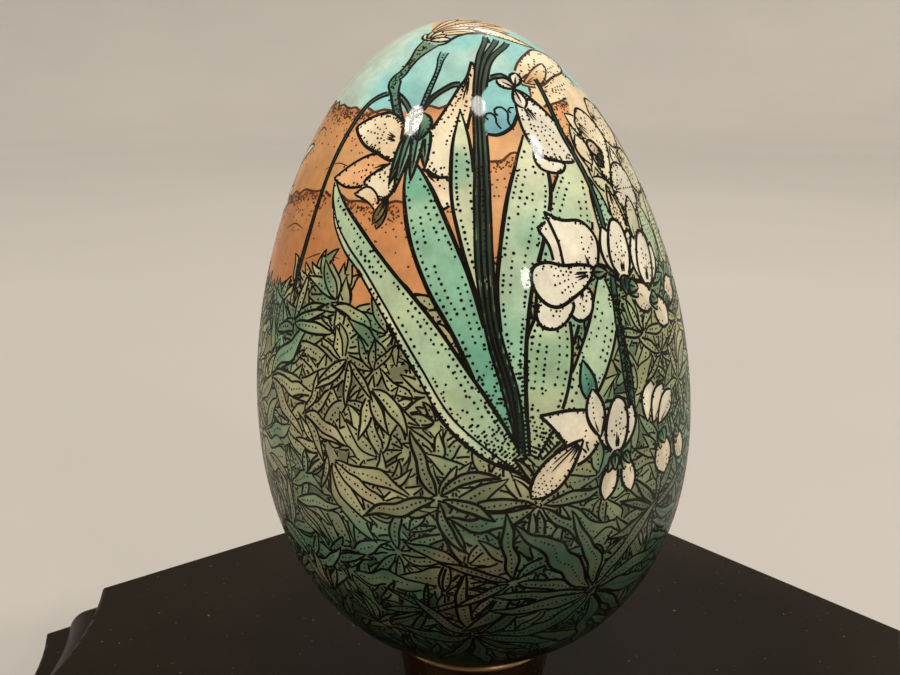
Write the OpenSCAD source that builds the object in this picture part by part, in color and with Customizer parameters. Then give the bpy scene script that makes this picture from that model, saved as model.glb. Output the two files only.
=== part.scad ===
// Inked goose egg on a turned brass ring and a black moulded plaque.
// Millimetres. Origin at the centre of the plaque's underside, +Z up,
// X and Y along the plaque's straight sides.

/* [Egg] */
// Length of the egg, pole to pole
egg_l = 84.2; // [78:0.1:92]
// Largest diameter of the egg
egg_d = 57.0; // [52:0.1:62]
// How far the egg's shape leans towards its blunt end
egg_w = 7.6; // [4:0.1:9]
// Thickness of the chalky shell
shell_t = 0.55; // [0.4:0.05:0.9]
// Thickness of the dry skin that lines the shell
membrane_t = 0.12; // [0.1:0.01:0.3]
// Diameter of the hole that the egg was blown through
blow_hole_d = 6.4; // [3:0.1:8]
// Lean of the egg away from upright
egg_lean = 3; // [0:0.5:6]
// Turn of the egg's front about the vertical
egg_turn = -38.9; // [-180:0.1:180]

/* [Ring] */
// Outer diameter of the ring at its foot
ring_foot_d = 18.4; // [16:0.1:24]
// Diameter of the circle through the middle of the rolled rim
ring_rim_d = 21.2; // [18:0.1:26]
// Thickness of the rolled rim
rim_t = 1.5; // [1:0.1:2.5]
// Thickness of the ring's wall
ring_wall = 1.1; // [0.8:0.1:2]
// Clear gap between the egg and the rim
seat_gap = 0.06; // [0.03:0.01:0.3]
// Height of the egg's lowest point above the plaque
egg_lift = 9.1; // [6:0.1:14]

/* [Plaque] */
// Side of the square that the plaque is cut from
plaque_side = 152.4; // [120:0.1:200]
// Thickness of the board
plaque_t = 19.05; // [16:0.05:25]
// Height of the upright fillet under the top face
fillet_h = 4.6; // [3:0.1:6]
// Set-in of the fillet behind the flat top's edge, which is rounded
arris_r = 1.2; // [0.5:0.1:2]
// Radius of the quarter round
ovolo_r = 6.8; // [4:0.1:8]
// Width of the flat shelf outside the quarter round
shelf_w = 4.1; // [2:0.1:6]
// Rounding of the shelf's outer edge
shelf_r = 0.7; // [0.3:0.1:1.5]
// Straight side lost at each end to a scooped corner, at the top face
scoop_cut = 34.3; // [25:0.1:42]
// Radius of the scooped corners, at the top face
scoop_r = 77; // [60:0.5:100]

/* [Hidden] */
eps = 0.01;
egg_bands = 72;
ring_fn = 96;
scoop_fn = 180;

// Radius of the blunt end's sphere, which the ring touches
blunt_r = egg_d * egg_d * egg_l / (2 * pow(egg_l - 2 * egg_w, 2));
seat_z = plaque_t + egg_lift;

// Radius of the egg at height x above its middle
function egg_radius(x) =
    egg_d / 2 * sqrt(max(0, egg_l * egg_l - 4 * x * x)
        / (egg_l * egg_l + 8 * egg_w * x + 4 * egg_w * egg_w));

// Height above the middle of band i of n, closer together at the poles
function band_x(i, n) = -egg_l / 2 * cos(180 * i / n);

// Outline point i of n, height measured from the blunt pole
function egg_point(i, n) =
    i == 0 ? [0, 0] :
    i == n ? [0, egg_l] :
    [egg_radius(band_x(i, n)), band_x(i, n) + egg_l / 2];

// Inward unit normal at outline point i, from its two neighbours
function inward(i, n) =
    i == 0 ? [0, 1] :
    i == n ? [0, -1] :
    let (d = egg_point(i + 1, n) - egg_point(i - 1, n))
    [-d[1], d[0]] / norm(d);

// Outline of the egg moved inwards by t
function egg_outline(t, n) =
    [for (i = [0:n]) egg_point(i, n) + t * inward(i, n)];

// Solid egg with its surface moved inwards by t, blunt pole at the origin
module egg_solid(t) {
    rotate_extrude($fn = ring_fn)
        polygon(egg_outline(t, egg_bands));
}

// Puts a piece of the egg on the ring: it leans about the centre of its
// blunt end, so the ring touches it all the way round
module on_ring() {
    translate([0, 0, seat_z + blunt_r])
        rotate([0, 0, egg_turn])
            rotate([0, -egg_lean, 0])
                translate([0, 0, -blunt_r])
                    children();
}

// A hollow layer of the egg between two depths, open at the blunt pole
module egg_layer(outer_t, inner_t) {
    difference() {
        egg_solid(outer_t);
        egg_solid(inner_t);
        translate([0, 0, -blow_hole_d])
            cylinder(d = blow_hole_d, h = 2 * blow_hole_d, $fn = ring_fn);
    }
}

module eggshell() {
    color([0.55, 0.68, 0.60])
        on_ring()
            egg_layer(0, shell_t);
}

module shell_membrane() {
    color([0.90, 0.86, 0.76])
        on_ring()
            egg_layer(shell_t, shell_t + membrane_t);
}

// Height of the middle of the rolled rim, from the clear gap to the egg
rim_r = rim_t / 2;
rim_z = seat_z + blunt_r
    - sqrt(pow(blunt_r + rim_r + seat_gap, 2) - pow(ring_rim_d / 2, 2));
ring_z = plaque_t + 0.03;

module egg_ring() {
    color([0.72, 0.52, 0.30])
        rotate_extrude($fn = ring_fn)
            union() {
                translate([ring_rim_d / 2, rim_z])
                    circle(r = rim_r, $fn = 48);
                polygon([
                    [ring_foot_d / 2 - ring_wall, ring_z],
                    [ring_foot_d / 2, ring_z],
                    [ring_rim_d / 2 + ring_wall / 2, rim_z],
                    [ring_rim_d / 2 - ring_wall / 2, rim_z]
                ]);
            }
}

half_side = plaque_side / 2;
shelf_z = plaque_t - fillet_h - ovolo_r;
ovolo_out = half_side - shelf_w;
fillet_out = ovolo_out - ovolo_r;
top_out = fillet_out - arris_r;

// Distance from the plaque's middle to the centre of a scoop, along X and Y
scoop_c = top_out - scoop_cut / 2
    + sqrt((scoop_r * scoop_r - scoop_cut * scoop_cut / 2) / 2);

// Half outline of the moulding, from the plaque's middle out to its side
module moulding_half() {
    square([half_side, shelf_z - shelf_r]);
    square([half_side - shelf_r, shelf_z]);
    translate([half_side - shelf_r, shelf_z - shelf_r])
        circle(r = shelf_r, $fn = 32);
    square([fillet_out + eps, plaque_t - fillet_h]);
    translate([fillet_out, shelf_z])
        intersection() {
            circle(r = ovolo_r, $fn = 96);
            square(ovolo_r);
        }
    square([fillet_out, plaque_t - arris_r]);
    square([top_out, plaque_t]);
    translate([top_out, plaque_t - arris_r])
        circle(r = arris_r, $fn = 48);
}

// The moulding run straight along Y for the whole side
module moulded_bar() {
    rotate([90, 0, 0])
        linear_extrude(height = plaque_side + 2, center = true) {
            moulding_half();
            mirror([1, 0])
                moulding_half();
        }
}

// What a cutter takes away as it runs round a scooped corner: the space
// outside the moulding, at its distance from the scoop's centre
module scoop_cutter() {
    rotate_extrude($fn = scoop_fn)
        difference() {
            translate([0, -1])
                square([scoop_r + 1, plaque_t + 2]);
            translate([scoop_r + top_out, 0])
                mirror([1, 0])
                    moulding_half();
        }
}

module plaque() {
    color([0.07, 0.06, 0.055])
        difference() {
            intersection() {
                moulded_bar();
                rotate([0, 0, 90])
                    moulded_bar();
            }
            for (sx = [-1, 1])
                for (sy = [-1, 1])
                    translate([sx * scoop_c, sy * scoop_c, 0])
                        scoop_cutter();
        }
}

eggshell();
shell_membrane();
egg_ring();
plaque();
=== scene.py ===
import math

import bpy
import numpy as np
from mathutils import Matrix, Vector


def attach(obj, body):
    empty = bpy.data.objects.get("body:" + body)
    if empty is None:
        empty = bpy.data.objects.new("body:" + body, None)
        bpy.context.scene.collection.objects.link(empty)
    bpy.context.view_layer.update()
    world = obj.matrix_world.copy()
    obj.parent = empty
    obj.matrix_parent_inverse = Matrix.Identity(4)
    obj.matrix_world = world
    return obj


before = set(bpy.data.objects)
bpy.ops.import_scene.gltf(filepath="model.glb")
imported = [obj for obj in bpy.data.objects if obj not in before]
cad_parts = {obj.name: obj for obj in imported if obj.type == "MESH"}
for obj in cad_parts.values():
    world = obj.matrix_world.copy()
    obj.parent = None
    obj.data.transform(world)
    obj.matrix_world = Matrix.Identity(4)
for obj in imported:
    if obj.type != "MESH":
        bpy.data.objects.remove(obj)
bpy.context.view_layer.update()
rng = np.random.default_rng(11)

# ---------------------------------------------------------------- the egg's shape, mm, as in the CAD
EGG_L, EGG_D, EGG_W = 84.2, 57.0, 7.6
EGG_LEAN, EGG_TURN = 3.0, -38.9
SEAT_Z = 28.15
HOLE_R = 3.2
BLUNT_R = EGG_D * EGG_D * EGG_L / (2 * (EGG_L - 2 * EGG_W) ** 2)
TILT = (np.array(Matrix.Rotation(math.radians(EGG_TURN), 3, "Z"))
        @ np.array(Matrix.Rotation(math.radians(-EGG_LEAN), 3, "Y")))
MM = 0.001

# Heights above the shell: the film of washes, the lines on it, and the dots over the lines
FILM = 0.03
LINE_LIFT, DOT_LIFT = FILM + 0.02, FILM + 0.024
# Spacing of points along a line, how far a hand-drawn line strays, and the radius of a fine dot
STEP, WOBBLE, DOT = 0.45, 0.04, 0.13


def r2(h):
    """Squared radius of the egg at height h above its blunt pole."""
    x = h - EGG_L / 2
    top = np.maximum(EGG_L**2 - 4 * x * x, 0)
    return EGG_D**2 / 4 * top / (EGG_L**2 + 8 * EGG_W * x + 4 * EGG_W**2)


def dr2(h):
    """Rate of change of r2 with height."""
    x = h - EGG_L / 2
    a = EGG_L**2 - 4 * x * x
    b = EGG_L**2 + 8 * EGG_W * x + 4 * EGG_W**2
    return EGG_D**2 / 4 * (-8 * x * b - 8 * EGG_W * a) / b**2


def unit(v):
    return v / np.maximum(np.linalg.norm(v, axis=-1, keepdims=True), 1e-12)


def gradient(p):
    """Gradient, at points p, of the function that is zero on the egg."""
    return np.stack([2 * p[..., 0], 2 * p[..., 1], -dr2(p[..., 2])], -1)


def normal(p):
    return unit(gradient(p))


def snap(p):
    """Points on the egg next to points p, close to the nearest ones."""
    p = np.array(p, float)
    for _ in range(3):
        g = gradient(p)
        f = p[..., 0] ** 2 + p[..., 1] ** 2 - r2(p[..., 2])
        p = p - (f / np.maximum((g * g).sum(-1), 1e-9))[..., None] * g
    return p


def at(az, h):
    """Point on the egg, az degrees to the right of its front, h mm above its blunt pole."""
    az, h = np.radians(np.asarray(az, float)), np.asarray(h, float)
    r = np.sqrt(r2(h))
    return np.stack([r * np.sin(az), -r * np.cos(az), h + 0 * az], -1)


def placed(p):
    """From the egg's own millimetres to the frame's metres."""
    q = (p - [0, 0, BLUNT_R]) @ TILT.T
    return (q + [0, 0, SEAT_Z + BLUNT_R]) * MM


def turned(n):
    """Directions on the egg, in the frame."""
    return n @ TILT.T


def between(a, b, c, d, n):
    """n points of the smooth curve from b towards c, with a before and d after them."""
    t = np.linspace(0, 1, n, endpoint=False)[:, None]
    return 0.5 * (2 * b + (c - a) * t + (2 * a - 5 * b + 4 * c - d) * t**2
                  + (3 * b - a - 3 * c + d) * t**3)


def spline(pts):
    """Smooth line through chart points (az, h), as points on the egg."""
    pts = np.array(pts, float)
    ends = np.vstack([2 * pts[0] - pts[1], pts, 2 * pts[-1] - pts[-2]])
    out = []
    for i in range(len(pts) - 1):
        a, b, c, d = ends[i : i + 4]
        size = np.linalg.norm(at(*c) - at(*b))
        out.append(between(a, b, c, d, max(2, int(size / STEP))))
    out.append(pts[-1:])
    chart = np.vstack(out)
    return at(chart[:, 0], chart[:, 1])


def resample(p, step=STEP, n=None):
    """The line through p, as n points or as points about step mm apart."""
    seg = np.linalg.norm(np.diff(p, axis=0), axis=1)
    s = np.concatenate([[0], np.cumsum(seg)])
    if n is None:
        n = max(3, int(s[-1] / step) + 1)
    t = np.linspace(0, s[-1], n)
    return np.stack([np.interp(t, s, p[:, k]) for k in range(3)], -1)


def noise(p, scale, seed=0):
    """Smooth value noise from -1 to 1 at points p, with cells of scale mm."""
    q = p / scale + seed * 17.3
    i = np.floor(q).astype(int)
    f = q - i
    f = f * f * (3 - 2 * f)
    total = 0
    for corner in np.ndindex(2, 2, 2):
        # a hash of the cell's corner: large primes, then the fraction of a large sine
        j = (i + corner) * (73856093, 19349663, 83492791)
        v = np.sin((j[..., 0] ^ j[..., 1] ^ j[..., 2]) % 100003 * 0.7361) * 43758.5453
        v = (v - np.floor(v)) * 2 - 1
        w = [f[..., axis] if far else 1 - f[..., axis] for axis, far in enumerate(corner)]
        total = total + v * (w[0] * w[1] * w[2])
    return total


# ---------------------------------------------------------------- the drawing
# Everything is drawn in order: a shape hides the strokes and dots that came before it.
shapes, strokes, dots = [], [], []


def blend(a, b, t):
    """Colours a share t of the way from a to b."""
    return np.array(a) * (1 - t) + np.array(b) * t


def mix(a, b, t):
    """One colour, a share t of the way from a to b."""
    return tuple(blend(a, b, t))


def wash(base, tip, c0, c1, edge=None, pool=None):
    """Colour that runs from c0 at base to c1 at tip, with pools of a third; edge tints one side."""
    base, tip = np.array(base, float), np.array(tip, float)
    axis = tip - base
    side = unit(np.cross(normal(snap((base + tip) / 2)), axis))

    def colour(p):
        t = (p - base) @ axis / max(axis @ axis, 1e-9) + 0.22 * noise(p, 3.4, 8)
        t = np.clip(t, 0, 1)[:, None]
        c = blend(c0, c1, t)
        if pool is not None:
            c = blend(c, pool, np.clip(noise(p, 6.5, 9) * 1.7 + 0.1, 0, 0.85)[:, None])
        if edge is not None:
            c = c * np.where(((p - base) @ side)[:, None] > 0, 1, edge)
        return c

    return colour


def add_shape(poly, colour):
    """An outline on the egg, filled by the function colour, that hides what lies under it."""
    poly = snap(poly)
    centre = poly.mean(0)
    n = normal(snap(centre))
    e1 = unit(np.cross([0.3, 0.1, 1.0], n))
    e2 = np.cross(n, e1)
    basis = np.stack([e1, e2], 1)
    shapes.append({
        "c": centre, "n": n, "basis": basis, "poly": (poly - centre) @ basis,
        "r": np.linalg.norm(poly - centre, axis=1).max() + 0.1, "colour": colour,
        "z": (poly[:, 2].min() - 0.6, poly[:, 2].max() + 0.6),
    })


def inside(shape, p, n):
    """Which of the points p, with normals n, lie in the shape."""
    d = p - shape["c"]
    found = ((d * d).sum(1) < shape["r"] ** 2) & (n @ shape["n"] > 0.05)
    k = np.nonzero(found)[0]
    if len(k) == 0:
        return k
    uv = d[k] @ shape["basis"]
    a = shape["poly"]
    b = np.roll(a, -1, 0)
    x, y = uv[:, :1], uv[:, 1:]
    crosses = (a[:, 1] > y) != (b[:, 1] > y)
    rise = np.where(np.abs(b[:, 1] - a[:, 1]) < 1e-12, 1e-12, b[:, 1] - a[:, 1])
    hit = crosses & (x < (b[:, 0] - a[:, 0]) * (y - a[:, 1]) / rise + a[:, 0])
    return k[hit.sum(1) % 2 == 1]


def stroke(p, width, taper=(0.6, 0.5), step=STEP, tone=0):
    """A line through points p; taper is the share of width at its ends, tone 0 black or 1 sepia."""
    p = resample(snap(p), step)
    n = len(p)
    s = np.linspace(0, 1, n)
    full = np.minimum(taper[0] + s * 6 * (1 - taper[0]), taper[1] + (1 - s) * 6 * (1 - taper[1]))
    full = np.minimum(1, full)
    w = width * full * (1 + 0.14 * noise(p, 1.7, 3))
    shift = WOBBLE * noise(p, 2.3, len(strokes) % 7)
    tangent = unit(np.gradient(p, axis=0))
    p = snap(p + np.cross(normal(p), tangent) * shift[:, None])
    strokes.append((p, w, len(shapes), tone))


def stipple(p, radius, tone=0):
    """Ink dots at points p."""
    if len(p):
        p = snap(p)
        r = np.broadcast_to(np.asarray(radius, float), (len(p),)) * rng.uniform(0.8, 1.2, len(p))
        dots.append((p, r, np.full(len(p), len(shapes)), np.full(len(p), tone)))


# Colours of the washes, as seen in white light
CREAM, WHITE, PEACH = (0.95, 0.90, 0.77), (0.93, 0.91, 0.83), (0.95, 0.78, 0.59)
ORANGE, OCHRE = (0.88, 0.63, 0.43), (0.80, 0.64, 0.40)
MINT, SAGE = (0.83, 0.87, 0.71), (0.70, 0.77, 0.59)
TEAL, DEEP = (0.49, 0.73, 0.61), (0.20, 0.41, 0.35)
OLIVE, DARK = (0.69, 0.72, 0.56), (0.07, 0.10, 0.075)
SKY, PALE_SKY, BLUE = (0.56, 0.79, 0.77), (0.77, 0.85, 0.78), (0.44, 0.65, 0.71)
HILL, PALE_HILL = (0.83, 0.57, 0.37), (0.90, 0.69, 0.48)
INKY = (0.10, 0.16, 0.14)


def dotted(p, gap, radius, skip=0.0):
    """A row of dots along p, gap mm apart, with a share of them skipped."""
    seg = np.linalg.norm(np.diff(p, axis=0), axis=1)
    s = np.concatenate([[0], np.cumsum(seg)])
    t = np.arange(gap * 0.6, s[-1] - gap * 0.3, gap)
    if len(t) == 0:
        return
    t = t + rng.uniform(-0.12, 0.12, len(t)) * gap
    q = np.stack([np.interp(t, s, p[:, k]) for k in range(3)], -1)
    q = q + rng.normal(0, 0.035, q.shape)
    stipple(q[rng.random(len(q)) >= skip], radius)


def runs(p, gap, radius, cover=0.6):
    """Short rows of dots along p, with pauses between them."""
    n, i = len(p), int(rng.integers(0, 6))
    while i < n - 3:
        long = int(rng.uniform(5, 20))
        dotted(p[i : min(n, i + long)], gap, radius)
        i += long + int(rng.uniform(2, 22) * (1 - cover) * 1.6)


def compass(p, angle):
    """Unit tangent at p that points angle degrees clockwise from up."""
    n = normal(p)
    e1 = unit(np.array([-p[1], p[0], 0.0]))
    e2 = np.cross(n, e1)
    a = math.radians(angle)
    return e1 * math.sin(a) + e2 * math.cos(a)


PROFILES = {
    "lance": lambda s: np.sin(np.pi * s**0.8) ** 0.95,
    "round": lambda s: np.sin(np.pi * s**1.35) ** 0.62,
    "petal": lambda s: np.sin(np.pi * s**1.1) ** 0.8,
    "drop": lambda s: np.sin(np.pi * s**0.55) ** 0.8,
    "strap": lambda s: np.minimum(1, (s / 0.12) ** 0.5) * np.minimum(1, ((1 - s) / 0.4) ** 0.75),
}


def leaf(p, angle, length, width, bend=0.0, kind="lance", c0=None, c1=None, ink=0.36, veins=0,
         rib="dots", edge=0.86, tone=0, rim=0, fill=None, ragged=0.0):
    """A leaf or petal from p (chart or point) towards angle, outlined over a wash.

    veins counts the lines beside the rib, rim the dots near its edge, and ragged makes it uneven.
    """
    p = at(*p) if len(p) == 2 else np.array(p, float)
    t = compass(p, angle)
    n = max(7, int(length / 0.7))
    centre, sides = [], []
    for _ in range(n + 1):
        nr = normal(p)
        t = unit(t - (t @ nr) * nr)
        side = np.cross(nr, t)
        centre.append(p)
        sides.append(side)
        turn = math.radians(bend) / n
        t = t * math.cos(turn) - side * math.sin(turn)
        p = snap(p + t * length / n)
    centre, sides = np.array(centre), np.array(sides)
    s = np.linspace(0, 1, n + 1)
    f = (np.nan_to_num(PROFILES[kind](s)) * width / 2)[:, None]
    if ragged:
        centre = snap(centre + sides * (noise(centre, 2.6, 31) * np.sin(np.pi * s) * ragged * width)[:, None])
    left = centre + sides * f * (1 + ragged * noise(centre, 1.9, 32))[:, None]
    right = centre - sides * f * (1 + ragged * noise(centre, 1.9, 33))[:, None]
    add_shape(np.vstack([left, right[::-1][1:-1]]), fill or wash(centre[0], centre[-1], c0, c1, edge))
    stroke(left, ink, tone=tone)
    stroke(right, ink, tone=tone)
    if rib == "dots":
        dotted(centre[1 : max(3, int(n * 0.86))], DOT * 4.4, DOT)
    elif rib == "line":
        stroke(centre[: int(n * 0.9)], ink * 0.75, (1, 0.3), 0.6, tone=tone)
    for k in range(veins):
        q = (k + 1) / (veins + 1) * 2 - 1
        line = centre + sides * f * q * 0.8
        last = int(n * rng.uniform(0.3, 0.62))
        if rib == "dots":
            dotted(line[1 : int(n * 0.8)], DOT * 4.4, DOT * 0.85)
        elif last >= 3:
            stroke(line[1 : last + 1], ink * 0.45, (1, 0.3), 0.6, tone=tone)
            runs(line[last:], DOT * 4.2, DOT * 0.85, 0.5)
    for _ in range(rim):
        k = int(rng.integers(1, n))
        q = rng.choice([-1, 1]) * (1 - abs(rng.normal(0, 0.16)))
        stipple((centre[k] + sides[k] * f[k] * q * 0.9)[None], DOT)


def sheet_of(az, h, rot, size, flip=1):
    """Maps (right, up) millimetres round a chart point to points on the egg."""
    p = at(az, h)
    e1, e2 = compass(p, 90 + rot), compass(p, rot)

    def put(uv):
        uv = np.array(uv, float).reshape(-1, 2) * [size * flip, size]
        return snap(p + uv[:, :1] * e1 + uv[:, 1:] * e2)

    return put


def across(shift, flip, az):
    """A clump's own azimuth as one on the egg; the clumps behind are narrower on one side."""
    edge, narrow = 44, 1.0 if shift == 0 else 0.35
    return shift + flip * (az if az < edge else edge + narrow * (az - edge))


def moved(shift, flip):
    """Maps a clump's own chart points, with anything that follows (az, h), to the egg's chart."""
    return lambda pts: [(across(shift, flip, q[0]), *q[1:]) for q in pts]


def chart(shift, flip):
    """Maps (azimuth, height) pairs of one clump to points on the egg."""
    def put(q):
        q = np.array(q, float).reshape(-1, 2)
        return at([across(shift, flip, az) for az in q[:, 0]], q[:, 1])

    return put


def smooth(pts, closed=True, n=7):
    """Rounded line through flat points; a point given twice stays a sharp corner."""
    pts = [np.array(q, float) for q in pts]
    m = len(pts)
    out = []
    for i in range(m if closed else m - 1):
        b, c = pts[i], pts[(i + 1) % m]
        if np.allclose(b, c):
            continue
        a = pts[i - 1] if closed or i else 2 * b - c
        d = pts[(i + 2) % m] if closed or i + 2 < m else 2 * c - b
        out.append(between(a, b, c, d, n))
    if not closed:
        out.append(pts[-1][None])
    return np.vstack(out)


def petal(put, outline, base, c0, c1, ink=0.42, veins=4, rim=16, tone=0):
    """A petal with a free outline, which put maps to the egg, lined and dotted from its base."""
    flat = smooth(outline)
    base = np.array(base, float)
    far = flat[np.argmax(np.linalg.norm(flat - base, axis=1))]
    add_shape(put(flat), wash(put(base)[0], put(far)[0], c0, c1))
    middle = flat.mean(0)
    ring = put(flat)
    stroke(np.vstack([ring, ring[:2]]), ink, (0.9, 0.9), tone=tone)
    for k in range(veins):
        q = (k + 0.5) / veins
        end = flat[int(len(flat) * (0.18 + 0.64 * q)) % len(flat)]
        bowed = (base + end) / 2 + (middle - (base + end) / 2) * 0.35
        line = smooth([base, bowed, end], False, 8)
        a, b = 2, int(len(line) * rng.uniform(0.3, 0.45))
        stroke(put(line[a:b]), ink * 0.5, (1, 0.3), 0.4, tone=tone)
        dotted(put(line[b : int(len(line) * rng.uniform(0.7, 0.95))]), 0.58, DOT)
    for _ in range(rim):
        k = int(rng.integers(0, len(flat)))
        q = 1 - abs(rng.normal(0.06, 0.09))
        stipple(put(middle + (flat[k] - middle) * q), 0.14)


def blade(left, right, c0, c1, rows, ink, root, pool):
    """A long blade between two chart edges that run from tip to root.

    It has rows of dots along it, and its root, a share of its length, is densely dotted.
    """
    dot, gap = 0.17, 0.74
    a, b = spline(left), spline(right)
    n = max(len(a), len(b))
    a, b = resample(a, n=n), resample(b, n=n)
    add_shape(np.vstack([a, b[::-1]]), wash((a[-1] + b[-1]) / 2, (a[0] + b[0]) / 2, c0, c1, None, pool))
    stroke(a, ink, (0.5, 0.8))
    stroke(b, ink, (0.5, 0.8))
    span = np.linalg.norm(a - b, axis=1)
    for k in range(rows):
        inset = 0.62 + 0.85 * (k // 2) * rng.uniform(0.85, 1.2)
        q = inset / np.maximum(span, 0.1)
        keep = np.nonzero(q < 0.47)[0]
        q = q[:, None] if k % 2 == 0 else 1 - q[:, None]
        if len(keep) > 4:
            runs((a * (1 - q) + b * q)[keep], gap * rng.uniform(0.85, 1.2), dot, 0.95 - 0.2 * (k // 2))
    count = int(n * root * 12 * span.mean() / 5)
    for _ in range(count):
        i = n - 1 - int(n * root * abs(rng.normal(0, 0.36)))
        if 0 <= i < n:
            q = rng.choice([rng.beta(0.7, 2.2), 1 - rng.beta(0.7, 2.2)])
            stipple((a[i] * (1 - q) + b[i] * q)[None], dot * 0.9)
    for _ in range(int(n * 0.25)):
        i = int(rng.integers(2, n))
        q = (abs(rng.normal(0, 0.2)) + 0.3) / max(span[i], 0.8)
        q = q if rng.random() < 0.5 else 1 - q
        if 0 < q < 1:
            stipple((a[i] * (1 - q) + b[i] * q)[None], dot * 0.85)


def crest(az):
    """Height of the hills' top edge."""
    a = np.radians(az)
    return 73.6 + 1.1 * np.cos(a + 0.9) + 0.7 * np.sin(3 * a)


def ridge(az):
    """Height of the nearer hills' top edge."""
    a = np.radians(az)
    return 66.0 + 1.8 * np.sin(2 * a + 0.4) + 1.2 * np.sin(5 * a)


def growth(az):
    """Height of the top edge of the low foliage."""
    a = np.radians(az)
    return 55.0 + 1.4 * np.sin(2 * a) + 1.2 * np.sin(7 * a + 1) + 3.2 * np.exp(-(((az + 38) / 10) ** 2))


def meadow_wash(p):
    """The broad washes over the low leaves, which take no notice of the outlines."""
    az, h = np.degrees(np.arctan2(p[:, 0], -p[:, 1])), p[:, 2]
    left = (0.5 + 0.5 * np.cos(np.radians(az + 50)))[:, None]
    n1, n2, n3 = (noise(p, cell, k)[:, None] for cell, k in ((9.0, 21), (4.5, 22), (2.2, 23)))
    rise = np.clip((h[:, None] - 15) / 24 + 0.5 * n1, 0, 1)
    deep = np.array(TEAL) * 0.9 * (1 - 0.6 * left) + np.array((0.58, 0.64, 0.51)) * 0.6 * left
    c = blend(deep, blend(SAGE, OLIVE, left), rise)
    c = blend(c, np.array(TEAL) * 0.84, np.clip(n2 * 1.8 - 0.05, 0, 0.7))
    c = blend(c, (0.80, 0.77, 0.61), np.clip(-n2 * 1.4 - 0.2 + 0.4 * n1, 0, 0.6))
    right = np.clip(0.7 - np.abs(az - 62) / 40, 0, 1)[:, None] * np.clip((46 - h[:, None]) / 12, 0, 1)
    c = blend(c, np.array(TEAL) * 0.85, right)
    # painted shade in part: the washes darken towards the bottom of the egg, where it sits in shade above the
    # plaque, and the darkening reaches higher on the front; the rest is the deeper colour the washes have low
    # down
    shade = 6 * np.clip((az + 18) / 14, 0, 1) * np.clip((62 - az) / 12, 0, 1)
    low_wash_and_shade = (0.55 + 0.45 * np.clip((h - shade - 8) / 26, 0, 1))[:, None] * np.array([1.0, 0.97, 0.93])
    return c * low_wash_and_shade * (1 + 0.08 * n3)


def shaded(strength):
    """The meadow's washes, darkened, to fill one leaf."""
    return lambda p: meadow_wash(p) * strength


def ground(p):
    """The washes under everything: sky, hills and the green behind the leaves."""
    az = np.degrees(np.arctan2(p[:, 0], -p[:, 1]))
    h = p[:, 2]
    n1, n2 = noise(p, 6.0, 1)[:, None], noise(p, 2.6, 2)[:, None]
    t = np.clip(0.45 + 1.0 * n1 + 0.4 * n2 - 0.4 * np.clip((-30 - az[:, None]) / 30, 0, 1), 0, 1)
    sky = blend(PALE_SKY, SKY, t)
    t = np.clip((h[:, None] - 58) / 15 + 0.5 * n1 + 0.25 * n2, 0, 1)
    hill = blend(HILL, PALE_HILL, t)
    # painted shade: the hills darken towards the egg's far left side, as if less light fell there
    left_limb_shade = np.clip((-26 - az) / 24, 0, 1) * np.clip((az + 90) / 24, 0, 1)
    hill = hill * (1 - left_limb_shade[:, None] * np.array([0.10, 0.14, 0.20]))
    near_ridge = np.exp(-np.clip(ridge(az) - h, 0, 99) / 1.6) * (h < ridge(az))
    near_crest = np.exp(-np.clip(crest(az) - h, 0, 99) / 1.3)
    hill = hill * (1 - 0.22 * np.maximum(near_ridge, near_crest)[:, None] * np.array([0.4, 1, 1.4]))
    c = np.where((h > crest(az))[:, None], sky, hill)
    tip = 82.6 + 0.5 * n1[:, 0] + 1.8 * np.clip((-24 - az) / 20, 0, 1)
    c = np.where((h > tip)[:, None], np.array(mix(OCHRE, PEACH, 0.6)) * (1 + 0.1 * n2), c)
    low = meadow_wash(p) * (0.66 + 0.15 * n2)
    return np.where((h < growth(az) - 1.2)[:, None], low, c)


def hills():
    """Lines along the two edges of the hills, stippled below, and a few strokes on the slopes."""
    az = np.arange(-180, 181, 4.0)
    for f, ink in ((crest, 0.34), (ridge, 0.3)):
        wavy = f(az) + 0.25 * np.sin(az * 0.9)
        stroke(spline(np.stack([az, wavy], 1)), ink, (1, 1), tone=1)
        for depth, count in ((0.6, 1300), (2.4, 900)):
            a = rng.uniform(-180, 180, count)
            drop = np.abs(rng.normal(0, depth, count))
            keep = noise(at(a, f(a)), 5.0, 12) > -0.25
            stipple(at(a, f(a) - 0.2 - drop)[keep], 0.12, 1)
    for _ in range(40):
        a, h = rng.uniform(-180, 180), rng.uniform(58, 72)
        long = rng.uniform(5, 14)
        stroke(spline([(a, h), (a + long / 2, h + 0.8), (a + long, h + 0.4)]), 0.15, (0.3, 0.3), tone=1)


def rosette(az, h, size, count, turn=0.0, spread=360.0, tone=1.0, width=0.2, ink=0.32, squash=0.72):
    """Leaves round a point, in a shuffled order, each with its own length and bend."""
    p = at(az, h)
    for k in rng.permutation(count):
        a = turn + spread * (k + 0.5) / count - (spread / 2 if spread < 360 else 0)
        a += rng.normal(0, 6)
        up = abs(math.cos(math.radians(a)))
        long = size * (1 - (1 - squash) * up) * rng.uniform(0.75, 1.15)
        root = snap(p + compass(p, a) * size * 0.05)
        leaf(root, a, long, long * width * rng.uniform(0.85, 1.15), rng.normal(0, 26), "lance", ink=ink,
             fill=shaded(tone * rng.uniform(0.86, 1.0)), ragged=0.45)


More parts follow.
